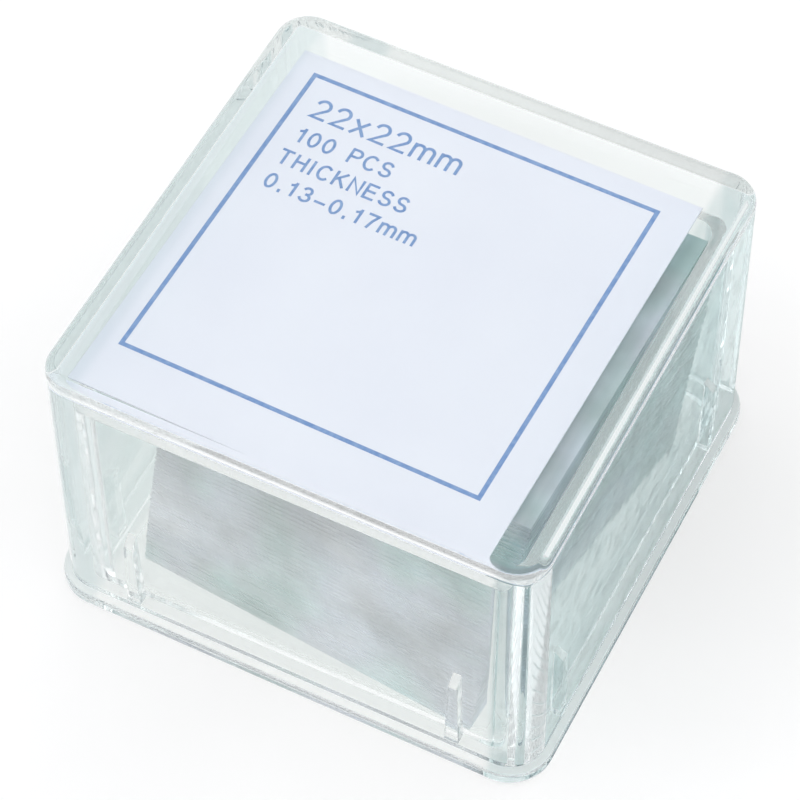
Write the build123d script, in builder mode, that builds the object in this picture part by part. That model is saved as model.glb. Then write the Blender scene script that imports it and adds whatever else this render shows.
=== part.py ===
"""A two-piece clear plastic box that holds one hundred square microscope cover glasses.

The frame is millimetres with +Z up, +X to the right and +Y to the back. The origin is the
middle of the base's underside. The base is a flange with a raised tray. The lid telescopes
over the tray and stands on the flange. The glasses lie loose in the tray, one on another, and a
printed size card lies on the tray's rim, where it shows through the lid's top.
"""
from build123d import *
from math import cos, radians, sin, tan
import os

# Cover glasses
GLASS_SIDE = 22.0
GLASS_THICKNESS = 0.15
GLASS_COUNT = 100
GLASSES_PER_NODE = 2
GLASS_AIR_GAP = 0.004  # air film between two glasses
LOWEST_TURN = 4.4  # how far the lowest glass has turned clockwise in its tray, in degrees
HIGHEST_TURN = 1.2  # and the highest
LOWEST_SLIDE = (0.75, -1.0)  # how far it has slid in X and Y, as a share of the room it has
HIGHEST_SLIDE = (1.0, 0.9)
TURN_SCATTER = 0.12  # how much single glasses differ from their neighbours, in degrees
SHIFT_SCATTER = 0.02

# Moulding
DRAFT = 0.5  # degrees on every drawn wall

# Base
FLANGE_THICKNESS = 1.05
FLANGE_OVERHANG = 0.44  # beyond the lid's foot, all round
FLANGE_TOP_SOFTENING = 0.4
FLANGE_BOTTOM_SOFTENING = 0.25
UNDERSIDE_RECESS_DEPTH = 0.35
UNDERSIDE_RECESS_BORDER = 3.2
UNDERSIDE_RECESS_CORNER_RADIUS = 2.0
TRAY_FLOOR_THICKNESS = 0.85
TRAY_WALL = 0.85  # at the floor
TRAY_PLAY = 3.74  # how much wider the tray's inside is than a glass
TRAY_POCKET_CORNER_RADIUS = 0.95  # of the tray's inside
TRAY_CORNER_RADIUS = 1.0
TRAY_RIM_SOFTENING = 0.2
TRAY_FREEBOARD = 0.7  # from the highest glass up to the tray's rim
GLASS_CLEARANCE = 0.04  # between the glasses' corners and the tray's walls, at the least

# Lid
LID_CHANNEL = 0.69  # between the tray's outside and the lid's inside, at the tray's foot
LID_WALL = 0.75
LID_TOP_THICKNESS = 1.25
LID_TOP_CORNER_RADIUS = 2.0
LID_CEILING_CORNER_RADIUS = 0.35  # of the lid's inside, at its ceiling
LID_TOP_FILLET = 0.58
LID_CEILING_FILLET = 0.12
LID_FOOT_SOFTENING = 0.15
LID_SEAT_GAP = 0.02

# Friction ribs on the tray's outside, two on each side
RIB_INSET = 3.5  # from the tray's corner to the middle of a rib
RIB_FOOT_WIDTH = 0.9
RIB_TOP_WIDTH = 0.5
RIB_HEIGHT = 6.2
RIB_LEAD_IN = 0.6
RIB_CLEARANCE = 0.04

# Size card
CARD_THICKNESS = 0.12
CARD_TURN = 1.0  # how far it has turned clockwise in the lid, in degrees
CARD_SIDE_PLAY = 2.44  # the room it leaves beside it in the lid, all at the right
CARD_BACK_PLAY = 0.2  # the room it leaves at the back
CARD_FRONT_PLAY = 1.09  # and in front
CARD_EDGE_GAP = 0.03  # between its corner and the lid's left wall
CARD_GAP = 0.02  # over the tray's rim
CARD_HEADROOM = 1.85  # from the card up to the lid's ceiling

# Heights
floor_top = UNDERSIDE_RECESS_DEPTH + TRAY_FLOOR_THICKNESS
glass_pitch = GLASS_THICKNESS + GLASS_AIR_GAP
stack_top = floor_top + GLASS_COUNT * glass_pitch
tray_rim = stack_top + TRAY_FREEBOARD
card_bottom = tray_rim + CARD_GAP
card_top = card_bottom + CARD_THICKNESS
lid_ceiling = card_top + CARD_HEADROOM
lid_top = lid_ceiling + LID_TOP_THICKNESS
lid_foot = FLANGE_THICKNESS + LID_SEAT_GAP

# Plan sizes
draft_slope = tan(radians(DRAFT))
pocket_side = GLASS_SIDE + TRAY_PLAY  # at the tray's floor
tray_side = pocket_side + 2 * TRAY_WALL  # at the tray's floor
cavity_side = tray_side + 2 * LID_CHANNEL  # at the lid's foot
lid_foot_side = cavity_side + 2 * LID_WALL  # at the lid's foot
flange_side = lid_foot_side + 2 * FLANGE_OVERHANG


def narrowed(side, height):
    """What is left of a drawn wall's overall side after it has narrowed over a height."""
    return side - 2 * height * draft_slope


# Corners of the lid's drawn walls at its foot, and of the flange round it
lid_height = lid_top - lid_foot
cavity_height = lid_ceiling - lid_foot
lid_foot_corner_radius = LID_TOP_CORNER_RADIUS + lid_height * draft_slope
cavity_corner_radius = LID_CEILING_CORNER_RADIUS + cavity_height * draft_slope
flange_corner_radius = lid_foot_corner_radius + FLANGE_OVERHANG

# The card, as wide and as deep as leaves its turned outline the room named above
card_turn = radians(CARD_TURN)
room_for_card = narrowed(cavity_side, card_top - lid_foot) - 2 * CARD_EDGE_GAP
outline_width = room_for_card - CARD_SIDE_PLAY
outline_depth = room_for_card - CARD_BACK_PLAY - CARD_FRONT_PLAY
card_width = (outline_width * cos(card_turn) - outline_depth * sin(card_turn)) / cos(2 * card_turn)
card_depth = (outline_depth * cos(card_turn) - outline_width * sin(card_turn)) / cos(2 * card_turn)


# Friction rib, with its pair on the same side of the tray. Its face follows the lid's drawn wall,
# and it grows narrower upward.
with BuildPart() as friction_ribs:
    rib_foot = FLANGE_THICKNESS / 2
    rib_top = FLANGE_THICKNESS + RIB_HEIGHT
    rib_root = (tray_side - TRAY_WALL) / 2
    lead_in_start = rib_top - RIB_LEAD_IN
    rib_place = tray_side / 2 - RIB_INSET
    with BuildSketch(Plane.YZ.offset(rib_place)) as rib_side_view:
        with BuildLine() as rib_outline:
            Polyline(
                (rib_root, rib_foot),
                (narrowed(cavity_side, rib_foot - lid_foot) / 2 - RIB_CLEARANCE, rib_foot),
                (narrowed(cavity_side, lead_in_start - lid_foot) / 2 - RIB_CLEARANCE, lead_in_start),
                (narrowed(tray_side, rib_top - floor_top) / 2, rib_top),
                (rib_root, rib_top),
                close=True,
            )
        make_face()
    extrude(amount=RIB_FOOT_WIDTH / 2, both=True)
    with BuildSketch(Plane.XZ) as rib_front_view:
        with BuildLine() as rib_flanks:
            Polyline(
                (rib_place - RIB_FOOT_WIDTH / 2, rib_foot),
                (rib_place + RIB_FOOT_WIDTH / 2, rib_foot),
                (rib_place + RIB_TOP_WIDTH / 2, rib_top),
                (rib_place - RIB_TOP_WIDTH / 2, rib_top),
                close=True,
            )
        make_face()
    extrude(amount=-cavity_side, mode=Mode.INTERSECT)
    mirror(about=Plane.YZ)

# Base: flange, tray and friction ribs are one moulding.
with BuildPart() as base_tray:
    with BuildSketch() as flange_outline:
        RectangleRounded(flange_side, flange_side, flange_corner_radius)
    extrude(amount=FLANGE_THICKNESS)
    fillet(base_tray.faces().sort_by(Axis.Z)[-1].edges(), FLANGE_TOP_SOFTENING)
    fillet(base_tray.faces().sort_by(Axis.Z)[0].edges(), FLANGE_BOTTOM_SOFTENING)
    tray_root = FLANGE_THICKNESS / 2
    with BuildSketch(Plane.XY.offset(tray_root)) as tray_outline:
        tray_root_side = narrowed(tray_side, tray_root - floor_top)
        RectangleRounded(tray_root_side, tray_root_side, TRAY_CORNER_RADIUS)
    extrude(amount=tray_rim - tray_root, taper=DRAFT)
    for quarter in range(4):
        add(friction_ribs.part, rotation=(0, 0, 90 * quarter))
    with BuildSketch(Plane.XY.offset(floor_top)) as pocket_outline:
        RectangleRounded(pocket_side, pocket_side, TRAY_POCKET_CORNER_RADIUS)
    extrude(amount=tray_rim - floor_top, taper=-DRAFT, mode=Mode.SUBTRACT)
    fillet(base_tray.edges().group_by(Axis.Z)[-1], TRAY_RIM_SOFTENING)
    with BuildSketch() as underside_recess:
        recess_side = flange_side - 2 * UNDERSIDE_RECESS_BORDER
        RectangleRounded(recess_side, recess_side, UNDERSIDE_RECESS_CORNER_RADIUS)
    extrude(amount=UNDERSIDE_RECESS_DEPTH, taper=DRAFT, mode=Mode.SUBTRACT)
base_tray.part.label = "base_tray"

# Lid: an open box, upside down.
with BuildPart() as lid:
    with BuildSketch(Plane.XY.offset(lid_foot)) as lid_outline:
        RectangleRounded(lid_foot_side, lid_foot_side, lid_foot_corner_radius)
    extrude(amount=lid_height, taper=DRAFT)
    fillet(lid.faces().sort_by(Axis.Z)[-1].edges(), LID_TOP_FILLET)
    fillet(lid.faces().sort_by(Axis.Z)[0].edges(), LID_FOOT_SOFTENING)
    with BuildSketch(Plane.XY.offset(lid_foot)) as cavity_outline:
        RectangleRounded(cavity_side, cavity_side, cavity_corner_radius)
    extrude(amount=cavity_height, taper=DRAFT, mode=Mode.SUBTRACT)
    ceiling = lid.faces().filter_by(Axis.Z).sort_by(Axis.Z)[-2]
    fillet(ceiling.edges(), LID_CEILING_FILLET)
lid.part.label = "lid"

# Size card, loose on the tray's rim and pushed against the lid's left wall.
with BuildPart() as size_card:
    with BuildSketch(Plane.XY.offset(card_bottom)) as card_outline:
        with Locations((-CARD_SIDE_PLAY / 2, (CARD_FRONT_PLAY - CARD_BACK_PLAY) / 2)):
            Rectangle(card_width, card_depth, rotation=-CARD_TURN)
    extrude(amount=CARD_THICKNESS)
size_card.part.label = "size_card"


def between(lowest, highest, number):
    """The value for one glass of something that changes evenly from the lowest to the highest."""
    return lowest + (highest - lowest) * (number - 1) / (GLASS_COUNT - 1)


def cover_glasses(first, last):
    """The glasses from number first to number last, counted from the tray's floor."""
    with BuildPart() as glasses:
        for number in range(first, last + 1):
            turn = between(LOWEST_TURN, HIGHEST_TURN, number) + TURN_SCATTER * sin(2.4 * number)
            reach = GLASS_SIDE / 2 * (cos(radians(turn)) + sin(radians(turn))) + SHIFT_SCATTER
            room = pocket_side / 2 - GLASS_CLEARANCE - reach
            slide_x = room * between(LOWEST_SLIDE[0], HIGHEST_SLIDE[0], number)
            slide_y = room * between(LOWEST_SLIDE[1], HIGHEST_SLIDE[1], number)
            scatter_x = SHIFT_SCATTER * sin(1.7 * number)
            scatter_y = SHIFT_SCATTER * cos(2.9 * number)
            height = floor_top + GLASS_AIR_GAP + (number - 1) * glass_pitch
            with BuildSketch(Plane.XY.offset(height)) as glass_outline:
                with Locations((slide_x + scatter_x, slide_y + scatter_y)):
                    Rectangle(GLASS_SIDE, GLASS_SIDE, rotation=-turn)
            extrude(amount=GLASS_THICKNESS)
    return glasses.part


# The highest glass is a node of its own, and the ones under it go in pairs.
highest_glass = cover_glasses(GLASS_COUNT, GLASS_COUNT)
highest_glass.label = "cover_glass_top"
finished = [base_tray.part, lid.part, size_card.part, highest_glass]
for first in range(1, GLASS_COUNT, GLASSES_PER_NODE):
    last = min(first + GLASSES_PER_NODE, GLASS_COUNT) - 1
    stacked_glasses = cover_glasses(first, last)
    stacked_glasses.label = f"cover_glasses_{first:03d}_{last:03d}"
    finished.append(stacked_glasses)

os.makedirs("parts", exist_ok=True)
for piece in finished:
    export_step(piece, f"parts/{piece.label}.step")
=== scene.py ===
import math

import bmesh
import bpy
from mathutils import Matrix, Vector


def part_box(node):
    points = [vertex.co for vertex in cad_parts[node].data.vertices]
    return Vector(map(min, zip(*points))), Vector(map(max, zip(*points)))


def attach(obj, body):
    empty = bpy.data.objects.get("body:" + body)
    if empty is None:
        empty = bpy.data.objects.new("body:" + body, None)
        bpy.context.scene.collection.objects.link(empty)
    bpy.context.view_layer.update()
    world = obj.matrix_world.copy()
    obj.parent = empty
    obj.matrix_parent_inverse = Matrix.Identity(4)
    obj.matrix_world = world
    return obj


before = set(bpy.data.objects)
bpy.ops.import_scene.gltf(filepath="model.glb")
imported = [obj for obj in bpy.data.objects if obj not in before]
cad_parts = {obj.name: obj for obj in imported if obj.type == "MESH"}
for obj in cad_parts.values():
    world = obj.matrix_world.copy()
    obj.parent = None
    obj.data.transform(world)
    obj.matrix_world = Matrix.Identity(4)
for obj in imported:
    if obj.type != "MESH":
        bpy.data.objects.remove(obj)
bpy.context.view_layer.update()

MM = 0.001
STACK_NODES = sorted(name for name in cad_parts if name.startswith("cover_glass"))

# Refractive indices
POLYSTYRENE_INDEX = 1.59
GLASS_INDEX = 1.52

# Painted shade on the side walls: they are tinted darker, and the right ones mirror less, as beside a
# shaded bench. It comes in between these distances from the middle, just inside the tray's wall.
SIDE_SHADE_START = 12.4 * MM
SIDE_SHADE_END = 12.8 * MM
# Colour of the painted shade on the left and right walls
PAINTED_SIDE_SHADE = (0.87, 0.915, 0.915)
# Painted shade: the right walls pass this share of light without mirroring, so they reflect less of
# the bright floor
UNMIRRORED_SHARE = 0.75  # share of a right wall's surface that light passes without a reflection

LAMP_TINT = (0.985, 0.99, 0.987)  # of lamp light that has passed one face of a wall
GLASS_SIDE_SHADE = (0.80, 0.84, 0.84)


# ---------------------------------------------------------------- shader helpers

class Shader:
    """A small builder for one material's node tree."""

    def __init__(self, name):
        self.material = bpy.data.materials.new(name)
        self.material.use_nodes = True
        self.tree = self.material.node_tree
        self.tree.nodes.clear()
        self.output = self.tree.nodes.new("ShaderNodeOutputMaterial")

    def add(self, kind, settings=None, **inputs):
        """A node, with its inputs set to values or linked to sockets.

        An input goes by its name with _ for each space, or by i and its number.
        """
        node = self.tree.nodes.new("ShaderNode" + kind)
        for key, value in (settings or {}).items():
            setattr(node, key, value)
        for key, value in inputs.items():
            numbered = key[0] == "i" and key[1:].isdigit()
            socket = node.inputs[int(key[1:]) if numbered else key.replace("_", " ")]
            if isinstance(value, bpy.types.NodeSocket):
                self.tree.links.new(value, socket)
            else:
                socket.default_value = value
        return node

    def noise(self, position, scale, detail, roughness=0.5, stretch=(1.0, 1.0, 1.0)):
        """Noise between 0 and 1 whose features are about 1 / scale metres across."""
        mapped = self.add("Mapping", Vector=position, Scale=stretch).outputs[0]
        node = self.add("TexNoise", Vector=mapped, Scale=scale, Detail=detail, Roughness=roughness)
        return node.outputs[0]

    def ramp(self, value, *stops):
        """A colour ramp from (position, colour) stops."""
        node = self.add("ValToRGB", Fac=value)
        elements = node.color_ramp.elements
        while len(elements) < len(stops):
            elements.new(0.5)
        for element, (place, colour) in zip(elements, stops):
            element.position = place
            element.color = (*colour, 1.0)
        return node.outputs[0]

    def scaled(self, value, low, high, to_low=0.0, to_high=1.0):
        """A value mapped from one range to another, held at its ends."""
        node = self.add("MapRange", Value=value, i1=low, i2=high, i3=to_low, i4=to_high)
        return node.outputs[0]

    def calculated(self, operation, *values):
        """The result of one sum."""
        inputs = {f"i{number}": value for number, value in enumerate(values)}
        return self.add("Math", {"operation": operation}, **inputs).outputs[0]

    def mixed_colour(self, share, first, second, blend="MIX"):
        """A first colour with a share of a second mixed in."""
        settings = {"data_type": "RGBA", "blend_type": blend}
        return self.add("Mix", settings, i0=share, i6=first, i7=second).outputs[2]

    def mixed_surface(self, share, first, second):
        """A first surface with a share of a second mixed in."""
        return self.add("MixShader", Fac=share, i1=first, i2=second).outputs[0]

    def finish(self, surface):
        """The finished material, with this surface."""
        self.tree.links.new(surface, self.output.inputs["Surface"])
        return self.material


def lit_through(shader, surface):
    """Lets lamps through a clear surface, because a refracting one would cast a solid shadow."""
    clear = shader.add("BsdfTransparent", Color=(*LAMP_TINT, 1.0)).outputs[0]
    path = shader.add("LightPath")
    return shader.mixed_surface(path.outputs["Is Shadow Ray"], surface, clear)


# ---------------------------------------------------------------- materials

def clear_plastic(name, tint, wear):
    """Injection-moulded polystyrene: clear, a little wavy from the mould, and scuffed by handling.

    The left and right walls carry painted shade: they are tinted darker, and the right ones mirror
    less, as beside a shaded bench.
    """
    shader = Shader(name)
    position = shader.add("TexCoord").outputs["Object"]
    waves = shader.noise(position, 160.0, detail=1.0)
    scuffs = shader.noise(position, 700.0, detail=5.0, roughness=0.65)
    scratch_lines = shader.noise(position, 700.0, detail=4.0, roughness=0.6, stretch=(0.12, 1.6, 1.0))
    roughness = shader.scaled(scuffs, 0.52, 0.85, 0.01, 0.01 + wear)
    wavy = shader.add("Bump", Strength=0.05, Distance=0.03 * MM, Height=waves).outputs[0]
    scratched = shader.add(
        "Bump", Strength=0.03, Distance=0.008 * MM, Height=scratch_lines, Normal=wavy
    ).outputs[0]

    # Painted shade: masks for the left and right walls, which are tinted darker, and for the right
    # walls, which also mirror less
    place_x = shader.add("SeparateXYZ", Vector=position).outputs["X"]
    sideways = shader.calculated("ABSOLUTE", place_x)
    at_shaded_side = shader.scaled(sideways, SIDE_SHADE_START, SIDE_SHADE_END)
    at_shaded_right = shader.scaled(place_x, SIDE_SHADE_START, SIDE_SHADE_END)
    # The plastic's own tint, with the painted side shade mixed in on the left and right walls
    colour = shader.mixed_colour(at_shaded_side, (*tint, 1.0), (*PAINTED_SIDE_SHADE, 1.0))
    plastic = shader.add(
        "BsdfPrincipled",
        Base_Color=colour,
        Roughness=roughness,
        IOR=POLYSTYRENE_INDEX,
        Transmission_Weight=1.0,
        Specular_Tint=(0.2, 0.2, 0.2, 1.0),
        Normal=scratched,
    )
    # Light that a wall holds inside still reflects in full
    mirroring = shader.add("Fresnel", IOR=POLYSTYRENE_INDEX).outputs[0]
    unmirrored = shader.scaled(mirroring, 0.85, 0.99, UNMIRRORED_SHARE, 0.0)
    passing = shader.add(
        "BsdfRefraction", Color=colour, Roughness=0.0, IOR=POLYSTYRENE_INDEX, Normal=scratched
    )
    # Painted shade: on the right walls a share of the surface refracts without mirroring
    share = shader.calculated("MULTIPLY", unmirrored, at_shaded_right)
    body = shader.mixed_surface(share, plastic.outputs[0], passing.outputs[0])
    return shader.finish(lit_through(shader, body))


def cover_glass(name):
    """Cover glass in a stack: cloudy from the light between glasses, with painted shade on its left
    and right faces.
    """
    shader = Shader(name)
    position = shader.add("TexCoord").outputs["Object"]
    hues = shader.noise(position, 130.0, detail=2.0, roughness=0.45)
    clouds = shader.noise(position, 210.0, detail=3.0, roughness=0.5)
    hue = shader.ramp(
        hues,
        (0.36, (0.56, 0.70, 0.69)),
        (0.46, (0.66, 0.74, 0.75)),
        (0.54, (0.68, 0.71, 0.76)),
        (0.66, (0.72, 0.73, 0.76)),
    )
    veil = shader.ramp(clouds, (0.35, (0.88, 0.88, 0.88)), (0.65, (1.25, 1.25, 1.27)))
    cloudy = shader.mixed_colour(1.0, hue, veil, "MULTIPLY")
    # Painted shade: faces that look left or right are darker
    facing = shader.add("SeparateXYZ", Vector=shader.add("TexCoord").outputs["Normal"])
    sideways = shader.calculated("ABSOLUTE", facing.outputs["X"])
    shaded_side = shader.scaled(sideways, 0.4, 0.9)
    glass = shader.add(
        "BsdfPrincipled",
        Base_Color=shader.mixed_colour(shaded_side, cloudy, (*GLASS_SIDE_SHADE, 1.0), "MULTIPLY"),
        Roughness=0.25,
        IOR=GLASS_INDEX,
        Transmission_Weight=0.15,
    )
    return shader.finish(glass.outputs[0])


def card_paper(name):
    """Smooth white card with a cool cast and a faint fibre."""
    shader = Shader(name)
    position = shader.add("TexCoord").outputs["Object"]
    fibre = shader.noise(position, 2600.0, detail=5.0, roughness=0.7, stretch=(1.0, 0.5, 1.0))
    patches = shader.noise(position, 120.0, detail=2.0)
    colour = shader.ramp(patches, (0.3, (0.79, 0.81, 0.90)), (0.7, (0.82, 0.84, 0.92)))
    bump = shader.add("Bump", Strength=0.2, Distance=0.01 * MM, Height=fibre)
    paper = shader.add("BsdfPrincipled", Base_Color=colour, Roughness=0.75, Normal=bump.outputs[0])
    return shader.finish(paper.outputs[0])


def print_ink(name):
    """Light blue printing ink, a little uneven where it has taken to the card."""
    shader = Shader(name)
    position = shader.add("TexCoord").outputs["Object"]
    speckle = shader.noise(position, 3000.0, detail=4.0, roughness=0.7)
    colour = shader.ramp(speckle, (0.35, (0.13, 0.26, 0.55)), (0.65, (0.25, 0.38, 0.64)))
    ink = shader.add("BsdfPrincipled", Base_Color=colour, Roughness=0.6)
    return shader.finish(ink.outputs[0])


def floor_finish(name):
    """Plain white acrylic sweep, softly lit from below so that it shows hardly any shadow."""
    shader = Shader(name)
    position = shader.add("TexCoord").outputs["Object"]
    grain = shader.noise(position, 40.0, detail=2.0)
    colour = shader.ramp(grain, (0.4, (0.49, 0.49, 0.49)), (0.6, (0.51, 0.51, 0.51)))
    sweep = shader.add(
        "BsdfPrincipled",
        Base_Color=colour,
        Roughness=0.9,
        Emission_Color=(1.0, 1.0, 1.0, 1.0),
        Emission_Strength=0.45,
    )
    return shader.finish(sweep.outputs[0])


def finish_node(name, material):
    """Gives a CAD node its material."""
    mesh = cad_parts[name].data
    mesh.materials.clear()
    mesh.materials.append(material)


finish_node("base_tray", clear_plastic("tray_polystyrene", (0.975, 0.99, 0.985), 0.10))
finish_node("lid", clear_plastic("lid_polystyrene", (0.965, 0.98, 0.975), 0.12))
finish_node("size_card", card_paper("card_paper"))
stacked_glass = cover_glass("stacked_cover_glass")
for node in STACK_NODES:
    finish_node(node, stacked_glass)
    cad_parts[node].visible_shadow = False


# ---------------------------------------------------------------- card print

PRINT_TURN = math.radians(-1.1)
PRINT_FRAME_SIDE = 22.0 * MM
PRINT_LINE = 0.27 * MM
PRINT_FRAME_CENTRE = (-1.56 * MM, 1.38 * MM)
INK_HEIGHT = 0.003 * MM
INK_LIFT = 0.003 * MM  # from the card up to the ink
STROKE_LIFT = 0.002 * MM  # from one stroke of a letter up to the next, so that they share no face
BOW_STEP = 20  # degrees of a bow to each straight piece
BLUNTEST_MITRE = 0.5  # least cosine that a corner is widened by, so that a sharp one stays short
card_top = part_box("size_card")[1].z
print_plane = (
    Matrix.Translation((*PRINT_FRAME_CENTRE, card_top + INK_LIFT))
    @ Matrix.Rotation(PRINT_TURN, 4, "Z")
)


def new_piece(name, mesh, body, material):
    """A mesh object that rides on a body."""
    piece = bpy.data.objects.new(name, mesh)
    bpy.context.scene.collection.objects.link(piece)
    piece.data.materials.clear()
    piece.data.materials.append(material)
    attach(piece, body)
    return piece


def printed_frame():
    """The printed square: four thin lines as one closed band of ink."""
    mesh = bpy.data.meshes.new("printed_frame")
    band = bmesh.new()
    outer = PRINT_FRAME_SIDE / 2 + PRINT_LINE / 2
    inner = PRINT_FRAME_SIDE / 2 - PRINT_LINE / 2
    corners = ((-1, -1), (1, -1), (1, 1), (-1, 1))
    rings = [
        [band.verts.new((x * reach, y * reach, height)) for x, y in corners]
        for height, reach in ((0, outer), (0, inner), (INK_HEIGHT, outer), (INK_HEIGHT, inner))
    ]
    bottom_outer, bottom_inner, top_outer, top_inner = rings
    for i in range(4):
        j = (i + 1) % 4
        band.faces.new((top_outer[i], top_outer[j], top_inner[j], top_inner[i]))
        band.faces.new((bottom_outer[j], bottom_outer[i], bottom_inner[i], bottom_inner[j]))
        band.faces.new((bottom_outer[i], bottom_outer[j], top_outer[j], top_outer[i]))
        band.faces.new((bottom_inner[j], bottom_inner[i], top_inner[i], top_inner[j]))
    band.transform(print_plane)
    band.to_mesh(mesh)
    band.free()
    return mesh


def bow(middle_x, middle_y, reach_x, reach_y, first, last):
    """Points along part of an ellipse, from one angle to another in degrees."""
    steps = max(4, round(abs(last - first) / BOW_STEP))
    angles = (math.radians(first + (last - first) * step / steps) for step in range(steps + 1))
    return [(middle_x + reach_x * math.cos(a), middle_y + reach_y * math.sin(a)) for a in angles]


# Each letter's width and pen strokes, as shares of the height of a capital
LETTERS = {
    "0": (0.64, [bow(0.32, 0.5, 0.28, 0.5, 90, 270), bow(0.32, 0.5, 0.28, 0.5, 270, 450)]),
    "1": (0.48, [
        [(0.10, 0.77), (0.24, 0.81), (0.33, 0.90), (0.36, 1.0)],
        [(0.36, 1.0), (0.36, 0.0)],
    ]),
    "2": (0.64, [bow(0.33, 0.71, 0.29, 0.29, 165, -30) + [(0.03, 0.0), (0.64, 0.0)]]),
    "3": (0.64, [bow(0.32, 0.75, 0.25, 0.25, 155, -90), bow(0.32, 0.26, 0.30, 0.26, 90, -160)]),
    "7": (0.62, [[(0.02, 1.0), (0.62, 1.0), (0.38, 0.52), (0.24, 0.0)]]),
    ".": (0.12, [[(0.06, -0.06), (0.06, 0.09)]]),
    "-": (0.60, [[(0.0, 0.32), (0.60, 0.32)]]),
    "x": (0.60, [[(0.0, 0.0), (0.58, 0.74)], [(0.02, 0.74), (0.60, 0.0)]]),
    "m": (0.92, [
        [(0.0, 0.0), (0.0, 0.74)],
        bow(0.23, 0.50, 0.23, 0.24, 180, 0) + [(0.46, 0.0)],
        bow(0.69, 0.50, 0.23, 0.24, 180, 0) + [(0.92, 0.0)],
    ]),
    "C": (0.72, [bow(0.38, 0.5, 0.37, 0.5, 48, 312)]),
    "E": (0.60, [[(0.58, 1.0), (0.0, 1.0), (0.0, 0.0), (0.60, 0.0)], [(0.0, 0.52), (0.53, 0.52)]]),
    "H": (0.62, [[(0.0, 0.0), (0.0, 1.0)], [(0.62, 0.0), (0.62, 1.0)], [(0.0, 0.53), (0.62, 0.53)]]),
    "I": (0.16, [[(0.08, 0.0), (0.08, 1.0)]]),
    "K": (0.66, [[(0.0, 0.0), (0.0, 1.0)], [(0.60, 1.0), (0.0, 0.36)], [(0.22, 0.58), (0.66, 0.0)]]),
    "N": (0.64, [[(0.0, 0.0), (0.0, 1.0), (0.64, 0.0), (0.64, 1.0)]]),
    "P": (0.62, [
        [(0.0, 0.0), (0.0, 1.0)],
        [(0.0, 1.0)] + bow(0.36, 0.74, 0.26, 0.26, 90, -90) + [(0.0, 0.48)],
    ]),
    "S": (0.64, [bow(0.33, 0.75, 0.27, 0.25, 25, 265) + bow(0.33, 0.25, 0.30, 0.25, 80, -160)]),
    "T": (0.70, [[(0.0, 1.0), (0.70, 1.0)], [(0.35, 1.0), (0.35, 0.0)]]),
    " ": (0.45, []),
}


def pen_stroke(ink_mesh, points, width, lift):
    """A low band of ink of even width along a line of points, with its foot at the lift."""
    path = [Vector(point) for point in points]
    end_overrun = 0.3 * width
    top = lift + INK_HEIGHT
    rings = []
    for index, point in enumerate(path):
        first, last = index == 0, index == len(path) - 1
        before = (path[1] - point if first else point - path[index - 1]).normalized()
        after = before if last else (path[index + 1] - point).normalized()
        along = (before + after).normalized()
        across = Vector((-along.y, along.x)) * width / 2 / max(BLUNTEST_MITRE, along.dot(after))
        middle = point + along * end_overrun * (last - first)
        left, right = middle + across, middle - across
        rings.append([
            ink_mesh.verts.new((*side, height))
            for side, height in ((left, lift), (right, lift), (right, top), (left, top))
        ])
    ink_mesh.faces.new(rings[0])
    ink_mesh.faces.new(rings[-1][::-1])
    for near, far in zip(rings, rings[1:]):
        for i in range(4):
            j = (i + 1) % 4
            ink_mesh.faces.new((near[j], near[i], far[i], far[j]))


def printed_line(name, text, left, right, baseline, height, width):
    """One line of print between two places, its letters evenly spaced."""
    mesh = bpy.data.meshes.new(name)
    ink_mesh = bmesh.new()
    letters_width = height * sum(LETTERS[letter][0] for letter in text)
    gap = (right - left - letters_width) / (len(text) - 1)
    place = left
    for letter in text:
        letter_width, strokes = LETTERS[letter]
        for number, stroke in enumerate(strokes):
            points = [(place + x * height, baseline + y * height) for x, y in stroke]
            pen_stroke(ink_mesh, points, width, number * STROKE_LIFT)
        place += letter_width * height + gap
    bmesh.ops.recalc_face_normals(ink_mesh, faces=ink_mesh.faces)
    ink_mesh.transform(print_plane)
    ink_mesh.to_mesh(mesh)
    ink_mesh.free()
    return mesh


ink = print_ink("printing_ink")
new_piece("card_printed_frame", printed_frame(), "card", ink)
# Name and text, then in millimetres: left end, right end and baseline from the frame's centre,
# height of a capital, and pen width
PRINT_LINES = (
    ("card_print_size", "22x22mm", -9.80, -0.38, 8.14, 1.36, 0.20),
    ("card_print_count", "100 PCS", -9.76, -3.66, 6.12, 1.00, 0.17),
    ("card_print_thickness", "THICKNESS", -9.86, -1.68, 4.26, 1.00, 0.17),
    ("card_print_range", "0.13-0.17mm", -9.70, -0.16, 2.40, 0.97, 0.17),
)
for name, text, *sizes in PRINT_LINES:
    new_piece(name, printed_line(name, text, *(size * MM for size in sizes)), "card", ink)


# ---------------------------------------------------------------- stage

FLOOR_GAP = 0.02 * MM
LAMP_TARGET = Vector((0, 0, 0.01))
LIGHT_BOUNCES = 96  # light runs up and down inside a clear wall many times before it comes out


def make_floor():
    """A wide floor just under the box, so that the two share no face."""
    bpy.ops.mesh.primitive_plane_add(size=6.0, location=(0, 0, -FLOOR_GAP))
    floor = bpy.context.object
    floor.name = "floor"
    floor.data.materials.append(floor_finish("floor_white"))


def area_light(name, location, size, power):
    """A square soft box turned to the middle of the cover glass box."""
    lamp = bpy.data.lights.new(name, "AREA")
    lamp.shape = "SQUARE"
    lamp.size = size
    lamp.energy = power
    holder = bpy.data.objects.new(name, lamp)
    holder.location = location
    direction = LAMP_TARGET - Vector(location)
    holder.rotation_euler = direction.to_track_quat("-Z", "Y").to_euler()
    bpy.context.scene.collection.objects.link(holder)


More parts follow.
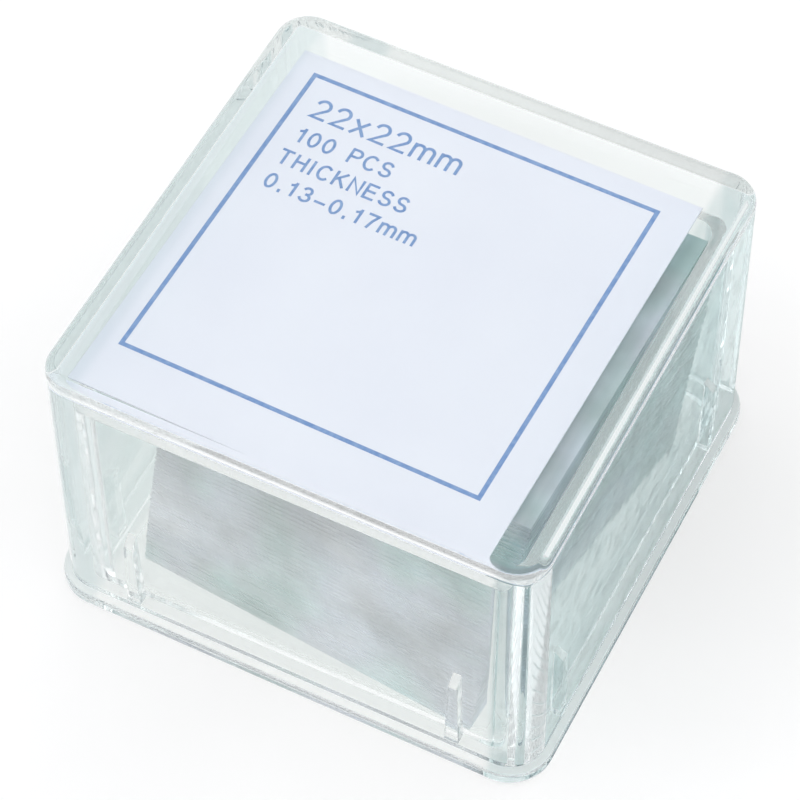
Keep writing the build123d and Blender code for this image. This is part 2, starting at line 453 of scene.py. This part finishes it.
def studio_world():
    """Soft white surroundings, faintly blue, bright overhead and greyer towards the horizon."""
    world = bpy.data.worlds.new("studio")
    world.use_nodes = True
    tree = world.node_tree
    tree.nodes.clear()
    output = tree.nodes.new("ShaderNodeOutputWorld")
    background = tree.nodes.new("ShaderNodeBackground")
    coordinates = tree.nodes.new("ShaderNodeTexCoord")
    split = tree.nodes.new("ShaderNodeSeparateXYZ")
    ramp = tree.nodes.new("ShaderNodeValToRGB")
    tree.links.new(coordinates.outputs["Generated"], split.inputs[0])
    tree.links.new(split.outputs["Z"], ramp.inputs["Fac"])
    blue_share = 1.01
    stops = ((0.0, 0.72), (0.2, 0.90), (0.6, 1.0), (1.0, 1.0))
    while len(ramp.color_ramp.elements) < len(stops):
        ramp.color_ramp.elements.new(0.5)
    for element, (place, grey) in zip(ramp.color_ramp.elements, stops):
        element.position = place
        element.color = (grey, grey, grey * blue_share, 1.0)
    tree.links.new(ramp.outputs[0], background.inputs["Color"])
    background.inputs["Strength"].default_value = 1.05
    tree.links.new(background.outputs[0], output.inputs["Surface"])
    bpy.context.scene.world = world


make_floor()
studio_world()
area_light("key", (-0.5, -0.25, 0.5), size=0.4, power=1.0)
area_light("fill", (0.4, -0.2, 0.3), size=0.3, power=0.2)

scene = bpy.context.scene
scene.view_settings.view_transform = "Standard"
scene.cycles.max_bounces = LIGHT_BOUNCES
scene.cycles.transmission_bounces = LIGHT_BOUNCES
scene.cycles.glossy_bounces = LIGHT_BOUNCES
scene.cycles.transparent_max_bounces = 32


# ---------------------------------------------------------------- camera

def add_camera():
    """A long lens from the front right, looking down on the box."""
    place = Vector((0.051165, -0.100405, 0.164584))
    azimuth = math.radians(27.22)
    elevation = math.radians(54.08)
    roll = math.radians(-0.407)
    back = Vector((
        math.sin(azimuth) * math.cos(elevation),
        -math.cos(azimuth) * math.cos(elevation),
        math.sin(elevation),
    ))
    level = Vector((math.cos(azimuth), math.sin(azimuth), 0))
    upright = back.cross(level)
    right = math.cos(roll) * level + math.sin(roll) * upright
    up = -math.sin(roll) * level + math.cos(roll) * upright
    camera_data = bpy.data.cameras.new("camera")
    camera_data.sensor_width = 36.0
    camera_data.lens = 150.7
    camera_data.clip_start = 0.01
    camera = bpy.data.objects.new("camera", camera_data)
    camera.matrix_world = Matrix((
        (right.x, up.x, back.x, place.x),
        (right.y, up.y, back.y, place.y),
        (right.z, up.z, back.z, place.z),
        (0, 0, 0, 1),
    ))
    bpy.context.scene.collection.objects.link(camera)
    bpy.context.scene.camera = camera


add_camera()
